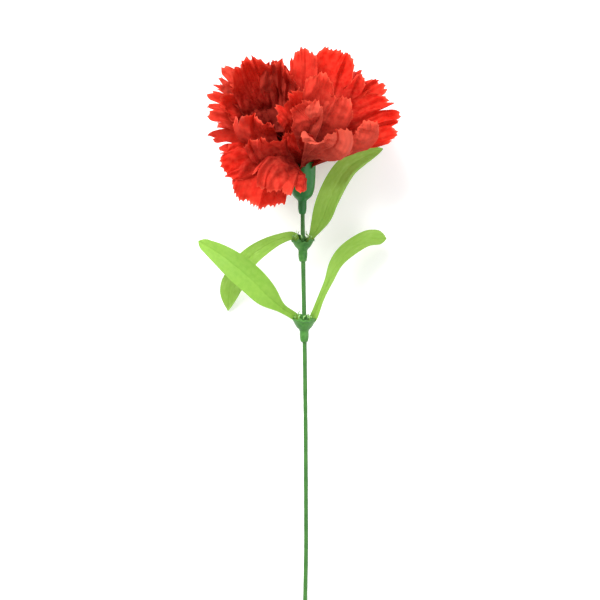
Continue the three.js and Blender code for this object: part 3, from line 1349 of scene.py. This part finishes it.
@dataclass(frozen=True)
class Petal:
    """One die-cut petal: a narrow claw that widens into a pinked, ruffled fan.

    Attributes:
        node: CAD node that it stands for.
        tip: Middle of its outer edge, from the calyx's mouth.
        via: Where its middle line heads for as it leaves the calyx.
        lean: The last stretch of its middle line, towards the tip.
        face: Where its upper side looks, near the tip.
        half_width: Half of its width at the widest.
        cup: Degrees that its sides curl up by.
        round_off: How far its corners fall back, as a share of its length.
        ruffle: Height of its ruffles at the edge.
        waves: Number of ruffles across.
        lobes: Number of lobes that its edge is cut into.
        seed: Chooses its own ruffles.
        fray: Depth of the long points at its edge, in millimetres.
        roll: How far its edge rolls towards the upper side, in millimetres.
        painted_light: Light painted over the whole petal, from -1 for the deepest painted shade to
            1 for a pale pink painted sheen.
        depth: How far up from its foot its painted shade stays deep, 1 for least.
        claw: How far up from its foot it starts to widen.
    """

    node: str
    tip: Point
    via: Point
    lean: Point
    face: Point
    half_width: float
    cup: float
    round_off: float
    ruffle: float
    waves: float
    lobes: float
    seed: int
    fray: float = 0.0
    roll: float = 0.0
    painted_light: float = 0.0
    depth: float = 1.5
    claw: float = -0.05

    def surface(self, anchors: Anchors, steps: int = 64, across: int = 150) -> Grid:
        """Bends the flat cut into its ruffled shape.

        Args:
            anchors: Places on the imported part.
            steps: Steps along the petal.
            across: Steps across it.

        Returns:
            The petal's sheet.
        """
        phase = np.random.default_rng(self.seed).uniform(0, 2 * math.pi, 12)
        tip = anchors.mouth + np.array(self.tip)
        outward = tip - anchors.mouth
        outward = outward - anchors.along * (outward @ anchors.along)
        outward = outward / max(np.linalg.norm(outward), 8.0)
        foot = anchors.mouth - CLAW_DEPTH * anchors.along + FOOT_RADIUS * outward
        middle = anchors.mouth + np.array(self.via)
        handles = np.array([foot, middle, tip - np.array(self.lean), tip])
        trace = np.diff(bezier(handles, np.linspace(0, 1, 40))[0], axis=0)
        length = float(np.linalg.norm(trace, axis=1).sum())
        u = np.linspace(-1, 1, across)[None, :]
        row = np.linspace(0, 1, steps)[:, None] ** 0.85
        place = (u + 1) / 2 * self.lobes + 0.15 * np.sin(phase[1])
        reach = self._outline(u, row, place, length, phase)
        line, tangent = bezier(handles, reach.reshape(-1))
        facing = np.array(self.face) / np.linalg.norm(self.face)
        blend = smooth(reach.reshape(-1, 1), 0.05, 0.55)
        looks = -outward * (1 - blend) + facing * blend
        normal = unit(looks - tangent * np.sum(looks * tangent, axis=1, keepdims=True))
        side = np.cross(tangent, normal)
        line, normal, side = (v.reshape(*reach.shape, 3) for v in (line, normal, side))
        fan = CLAW_SHARE + (1 - CLAW_SHARE) * smooth(reach, self.claw, 0.86) ** 0.9
        half = self.half_width * fan
        bend = np.radians(self.cup) / 2 * smooth(reach, 0.0, 0.5) + 1e-4
        lateral = half * np.sin(bend * u) / bend
        lift = half * (1 - np.cos(bend * u)) / bend
        flat_x, flat_y = half * GATHER * u, reach * length
        growth = np.clip(reach, 0, 1) ** 2.4
        swing = math.pi * self.waves * (u + 0.16 * np.sin(3 * u + 3 * reach + phase[9]))
        pleats = (
            0.8 * crease(swing + phase[3] + 0.8 * reach)
            + 0.25 * np.sin(1.9 * swing + phase[4] - 2.2 * reach)
            + 0.8 * np.cos(math.pi * place) * np.sin(3 * u + phase[2])
        )
        frill = 0.35 * np.sin(math.pi * 9 * u + phase[6]) * reach**8
        rumple = crumple(flat_x, flat_y, phase) * smooth(reach, 0.1, 0.6)
        lift = lift + self.ruffle * growth * pleats + frill + rumple
        curl = self.roll + CURL * np.sin(2.6 * u + phase[10]) * np.cos(4.7 * u + phase[11])
        lift = lift + curl * smooth(reach, 0.6, 1.02) ** 2
        sway = 0.3 * self.ruffle * growth * np.cos(swing + phase[3])
        points = line + (lateral + sway)[..., None] * side + lift[..., None] * normal
        points[..., 2] = table_press(points[..., 2])
        cut = np.stack(np.broadcast_arrays(flat_x, flat_y), axis=-1)
        edge = smooth(row, 0.955, 1.0) * np.ones_like(u)
        # Raising the reach to the depth stretches the painted shade at the foot.
        return Grid(points, cut, reach**self.depth, edge, painted_light=self.painted_light)

    def _outline(
        self, u: np.ndarray, row: np.ndarray, place: np.ndarray, length: float, phase: np.ndarray
    ) -> np.ndarray:
        """Cuts the edge into teeth, lobes and long points.

        Args:
            u: Places across the petal, from -1 to 1.
            row: Places along it, from 0 to 1.
            place: Places across it, counted in lobes.
            length: Length of its middle line.
            phase: Its own random angles.

        Returns:
            How far along the middle line each point lies, from 0 to 1.
        """
        teeth = zigzag(u * self.half_width * GATHER / TOOTH_PITCH + phase[0])
        tooth = TOOTH_DEPTH / length * (0.15 + 0.85 * teeth)
        tooth = tooth + 0.012 * np.sin(7 * u + phase[1]) + 0.008 * np.sin(17 * u + phase[2])
        reach = row * (1 - self.round_off * np.abs(u) ** 2.4) - tooth * smooth(row, 0.9, 1.0)
        lobe = 2 * (place - np.floor(place)) - 1
        split = np.abs(lobe) ** 6 * (0.6 + 0.4 * np.sin(4 * u + phase[6]))
        narrow = min(1.0, self.half_width / LOBED_WIDTH)
        reach = reach - LOBE_DEPTH * narrow * split * smooth(row, 0.55, 1.0)
        if self.fray:
            count = self.half_width * GATHER / POINT_PITCH
            swing = math.pi * (count * u + 0.3 * np.sin(5 * u + phase[9]) + phase[10])
            deep = np.abs(np.sin(swing)) ** 0.7
            uneven = 0.6 + 0.4 * np.sin(9 * u + phase[11])
            reach = reach - self.fray / length * (1 - deep) * uneven * smooth(row, 0.72, 1.0)
        return np.clip(reach, 0, 1)

    def build(self, anchors: Anchors, material: bpy.types.Material) -> bpy.types.Object:
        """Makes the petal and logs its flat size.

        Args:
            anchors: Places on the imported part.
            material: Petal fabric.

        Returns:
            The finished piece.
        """
        grid = self.surface(anchors)
        piece = grid.build(f"{self.node}_fabric", material)
        keep(piece, Slot.PETAL, self.node)
        declare_sheet(piece, grid)
        return piece


def crease(x: np.ndarray) -> np.ndarray:
    """A wave with tight crests, as in creased cloth."""
    return (np.sin(x) + 0.28 * np.sin(3 * x + 0.6)) / 1.15


def crumple(x: np.ndarray, y: np.ndarray, phase: np.ndarray) -> np.ndarray:
    """Small dents all over a flat cut.

    Args:
        x: Places across the cut, in millimetres.
        y: Places along it.
        phase: The sheet's own random angles, which also turn each wave.

    Returns:
        Height of the dents, in millimetres.
    """
    dents = 0
    for angle, span in zip(phase, CRUMPLE_SPANS):
        along = math.cos(angle) * x + math.sin(angle) * y
        dents = dents + np.sin(2 * math.pi * along / span + 3 * angle) * span / 10
    return CRUMPLE * dents


def table_press(height: np.ndarray) -> np.ndarray:
    """Lays what would go under the table on it, with slight folds.

    Args:
        height: Heights of the points, in millimetres.

    Returns:
        The heights, none of them under the table.
    """
    soft = PRESS_HEIGHT
    low = LEAST_PETAL_HEIGHT + soft * np.exp(np.minimum(height - soft, 0) / soft) * 0.9
    return np.where(height > soft, height, np.minimum(np.maximum(height, low), soft))


# Each row: node, tip, via, lean and face, then half width, cup, round off, ruffle,
# waves, lobes and seed.
# A petal's painted light is painted shade below 0 and a pale pink painted sheen above 0.
PETALS = (
    Petal("petal_1_5", (24.5, 40.6, -26.0), (1.9, 10.1, -1.0), (14, 16, -8), (-0.3, -0.2, 1),
          21, 30, 0.15, 2.0, 2, 2, 11, painted_light=-0.3),
    Petal("petal_1_4", (-47.7, 11.5, -13.0), (-9.2, 5.1, -1.0), (-18, -4, -6), (0.3, 0.2, 1),
          12, 35, 0.2, 3.0, 2.5, 3, 18, fray=9, painted_light=0.2),
    Petal("petal_2_4", (-4.2, 46.8, -17.0), (-0.1, 12.7, -3.0), (0, 20, -4), (0, -0.2, 1),
          13, 30, 0.12, 2.0, 2, 2, 13, painted_light=-0.2),
    Petal("petal_4_3", (-24.9, 51.5, 13.0), (-14.3, 16.2, -15.0), (-4, 14, 12), (0.1, -0.5, 1),
          16, 60, 0.2, 3.2, 3.8, 1.6, 21, roll=2, painted_light=0.1, depth=2.1),
    Petal("petal_5_3", (-9.5, 48.3, 15.0), (-11.3, 18.1, -13.0), (1, 14, 12), (-0.5, -0.5, 0.8),
          12, 50, 0.16, 3.4, 3.6, 3, 22, roll=1, painted_light=0.5, depth=1.6),
    Petal("petal_3_4", (-40.8, 46.8, -3.0), (-13.2, 13.0, -7.0), (-14, 12, 2), (0.6, -0.3, 0.8),
          11, 45, 0.22, 2.4, 2, 3, 23, fray=5, painted_light=0.6),
    Petal("petal_2_3", (-48.7, 31.1, -1.0), (-13.2, 9.2, -3.0), (-18, 3, 0), (0.5, 0.1, 0.9),
          14, 40, 0.22, 3.0, 2.5, 3, 24, fray=8, painted_light=0.3, depth=2.2),
    Petal("petal_1_3", (-11.8, -18.5, 31.0), (-3.1, -3.5, 31.0), (-1, -13, -3), (0.1, 0.4, 0.9),
          14, 30, 0.1, 3.2, 4, 4, 26, painted_light=0.3),
    Petal("petal_5_2", (-42.4, 29.3, 7.0), (-23.4, 15.9, -11.0), (-14, 4, 8), (0.8, 0, 0.6),
          8, 60, 0.2, 2.0, 2, 2, 26, fray=4, painted_light=0.1, depth=2.0),
    Petal("petal_4_2", (-22.6, 21.1, 27.0), (-14.9, -0.1, 17.0), (6, 9, 3), (0.2, 0.5, -1),
          11, 50, 0.2, 3.6, 2.2, 2.5, 28, roll=-3, painted_light=0.2, depth=1.7),
    Petal("petal_5_4", (0.3, 56.0, 4.0), (0.8, 14.4, 7.0), (-1, 22, -2), (0, -0.3, 1),
          7, 20, 0.08, 0.8, 1.2, 1, 37, painted_light=0.2),
    Petal("petal_4_4", (22.5, 55.6, -5.0), (10.8, 11.8, 3.0), (12, 20, -4), (-0.1, -0.3, 1),
          16.5, 30, 0.2, 2.4, 2.4, 1.4, 32),
    Petal("petal_3_5", (29.7, 45.4, -13.0), (5.8, 9.8, 3.0), (15, 17, -4), (-0.2, -0.2, 1),
          12, 30, 0.2, 2.0, 2, 1.5, 33, painted_light=-0.1),
    Petal("petal_2_5", (42.5, 37.9, -4.0), (9.8, 9.9, 1.0), (18, 8, 0), (-0.2, -0.1, 1),
          11, 30, 0.2, 2.4, 2.5, 3, 34, fray=5, painted_light=0.1),
    Petal("petal_3_1", (49.5, 22.4, 7.0), (11.7, 6.1, 13.0), (20, 2, -3), (-0.1, 0.1, 1),
          15, 35, 0.2, 3.2, 3, 3, 41, fray=2.5),
    Petal("petal_1_1", (32.4, 18.0, 29.0), (26.4, 5.8, 17.0), (-2, 13, 3), (-0.3, 0.1, -1),
          7, 70, 0.2, 1.2, 1.2, 1, 42, painted_light=0.7, depth=0.6),
    Petal("petal_2_1", (11.4, 10.6, 37.0), (1.8, 1.9, 31.0), (-6, 7, 3), (-0.15, 0.35, -1),
          14.5, 6, 0.14, 2.6, 3.0, 1, 45, roll=-1.0, painted_light=0.9, depth=0.7, claw=0.12),
    Petal("petal_4_1", (18.8, 30.4, 27.0), (7.7, 5.8, 17.0), (4, 12, 7), (0, 0.3, -1),
          10, 40, 0.2, 1.6, 2, 1.5, 51, painted_light=0.5, depth=1.3),
    Petal("petal_5_1", (-8.4, 28.7, 29.0), (-2.1, 8.6, 19.0), (-10, 7, 8), (0.46, -0.3, 0.83),
          11.5, 30, 0.14, 1.8, 3, 3, 52, roll=-2, painted_light=0.1, depth=1.6),
    Petal("petal_6_1", (9.5, 40.2, 31.0), (2.8, 10.5, 19.0), (3, 14, 7), (0.4, -0.1, 1),
          9, 50, 0.15, 1.2, 1.5, 1, 57, painted_light=0.3, depth=1.1),
    Petal("petal_6_2", (7.1, 27.0, 37.0), (2.8, 7.3, 23.0), (2, 10, 6), (0, 0.4, -1),
          6, 90, 0.3, 1.2, 1.5, 1, 54, painted_light=0.8, depth=0.5),
    Petal("petal_6_3", (-3.6, 22.7, 37.0), (-1.1, 7.0, 27.0), (-10, 5, 8), (0.5, -0.3, 0.8),
          9, 30, 0.16, 1.6, 2.5, 2, 55, roll=-1, painted_light=0.4, depth=1.4),
    Petal("petal_3_2", (-5.0, 13.7, 29.0), (-1.1, 0.7, 19.0), (-5, 11, 6), (0.3, 0.3, -1),
          9, 50, 0.15, 1.4, 2, 1, 60, painted_light=-0.3, depth=1.0),
    Petal("petal_3_3", (-18.1, 10.1, 31.0), (-11.9, -2.4, 21.0), (1, 9, 4), (0.2, 0.4, -1),
          12, 50, 0.2, 2.8, 3, 3, 62, roll=-2, painted_light=0.2),
    Petal("petal_2_2", (-40.6, -6.9, 15.0), (-17.0, 2.1, 13.0), (-14, -8, -6), (0.2, 0.4, 0.9),
          11, 30, 0.2, 2.8, 3, 2.5, 63),
    Petal("petal_1_2", (-23.8, -24.2, 17.0), (-13.0, -1.0, 15.0), (-4, -18, -8), (0.1, 0.5, 0.9),
          14.5, 35, 0.1, 2.4, 3, 1, 67, painted_light=0.1),
)


# ---------------------------------------------------------------- studio


@dataclass(frozen=True)
class Studio:
    """Pale table, soft light and the camera straight above.

    Attributes:
        aim: Point under the camera, from the calyx's mouth.
        height: Camera's height above the table.
        field: Width of the view at the mouth's height.
        table: Side of the table's square.
        sky: Strength of the light from all round.
        key: Power of the large lamp, in watts.
        fill: Power of the second lamp, in watts.
        glow: Light that the table itself gives, as a light table does.
    """

    aim: tuple[float, float] = (-1.15, -70.0)
    height: float = 1100.0
    field: float = 300.0
    table: float = 6000.0
    sky: float = 0.6
    key: float = 18.0
    fill: float = 4.0
    glow: float = 0.2

    def build(self, anchors: Anchors) -> None:
        """Makes the table, the lamps and the camera.

        Args:
            anchors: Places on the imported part.
        """
        target = anchors.mouth + np.array([*self.aim, 0.0])
        self._table(target)
        self._light(target)
        self._camera(anchors, target)

    def _table(self, target: np.ndarray) -> None:
        """Makes the plain table top.

        Args:
            target: Point that the view is centred on.
        """
        count = 9
        line = np.linspace(-0.5, 0.5, count) * self.table
        x, y = np.meshgrid(line + target[0], line + target[1], indexing="ij")
        points = np.stack([x, y, np.zeros_like(x)], axis=-1)
        flat = np.zeros_like(x)
        material, wires, surface, _ = new_material("White table")
        noise = wires.put("ShaderNodeTexNoise")
        noise.inputs["Scale"].default_value = 3.0
        values = {
            "Base Color": wires.mix(noise.outputs["Fac"], (0.92, 0.92, 0.92), (0.95, 0.95, 0.95)),
            "Roughness": 0.9,
            "Emission Color": (1.0, 1.0, 1.0, 1.0),
            "Emission Strength": self.glow,
            "Specular IOR Level": 0.1,
        }
        wires.fill(surface, values)
        floor = Grid(points, points[..., :2] * MM, flat, flat).build("table_top", material)

    def _light(self, target: np.ndarray) -> None:
        """Makes the sky and two large soft lamps.

        Args:
            target: Point that the lamps shine at.
        """
        world = bpy.data.worlds.new("Studio")
        world.use_nodes = True
        background = world.node_tree.nodes["Background"]
        background.inputs["Color"].default_value = (1.0, 1.0, 1.0, 1.0)
        background.inputs["Strength"].default_value = self.sky
        bpy.context.scene.world = world
        for name, place, power, size in (
            ("key", (-450.0, 700.0, 750.0), self.key, 0.7),
            ("fill", (600.0, -200.0, 700.0), self.fill, 0.9),
        ):
            lamp = bpy.data.lights.new(name, "AREA")
            lamp.energy = power
            lamp.size = size
            holder = bpy.data.objects.new(name, lamp)
            holder.location = Vector((target + np.array(place)) * MM)
            aim = Vector(target * MM) - holder.location
            holder.rotation_euler = aim.to_track_quat("-Z", "Y").to_euler()
            bpy.context.scene.collection.objects.link(holder)

    def _camera(self, anchors: Anchors, target: np.ndarray) -> None:
        """Makes the camera that looks straight down.

        Args:
            anchors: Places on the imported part.
            target: Point that the view is centred on.
        """
        camera = bpy.data.cameras.new("camera")
        distance = self.height - anchors.mouth[2]
        camera.angle = 2 * math.atan(self.field / 2 / distance)
        camera.clip_start = 0.05
        camera.clip_end = 20.0
        holder = bpy.data.objects.new("camera", camera)
        holder.location = Vector((target[0] * MM, target[1] * MM, self.height * MM))
        bpy.context.scene.collection.objects.link(holder)
        bpy.context.scene.camera = holder
        bpy.context.scene.view_settings.view_transform = "Standard"


# ---------------------------------------------------------------- flower


RIM_TORN = {"collar_upper": 3.4, "collar_lower": 2.4}


class Flower:
    """The whole flower, built piece by piece from its foot up."""

    def __init__(self, frame: dict) -> None:
        """Reads the frame and makes the materials.
        """
        self.frame = frame
        self.anchors = Anchors.measure()
        self.finishes = Finishes.make()

    def build_stem(self) -> None:
        """Builds the stem, its wire's finish, the calyx and the collars."""
        anchors, finishes = self.anchors, self.finishes
        Stem().build(anchors, finishes.cover)
        wire = self.frame["nodes"]["stem_wire"]
        wire.data.materials.clear()
        wire.data.materials.append(finishes.wire)
        CALYX.build(anchors.mouth, anchors.along, finishes.calyx)
        for node, rim in anchors.rims.items():
            torn = RIM_TORN[node]
            moulding = Moulding(node, Slot.COLLAR, COLLAR_PROFILE, lobes=2, rib=0.25, torn=torn)
            moulding.build(rim, anchors.along, finishes.collar)
            Flash(node, seed=round(rim[1])).build(rim, anchors.along, finishes.thread)

    def build_leaves(self) -> None:
        """Builds the four leaves."""
        for leaf in LEAVES:
            leaf.build(self.anchors, self.finishes.leaf)

    def build_head(self) -> None:
        """Builds the petals."""
        for petal in PETALS:
            petal.build(self.anchors, self.finishes.petal)


def main() -> None:
    """Builds the flower and its studio."""
    logging.basicConfig(level=logging.INFO, format="%(name)s: %(message)s")
    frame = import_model()
    flower = Flower(frame)
    flower.build_stem()
    flower.build_leaves()
    flower.build_head()
    Studio().build(flower.anchors)


if __name__ == "__main__":
    main()
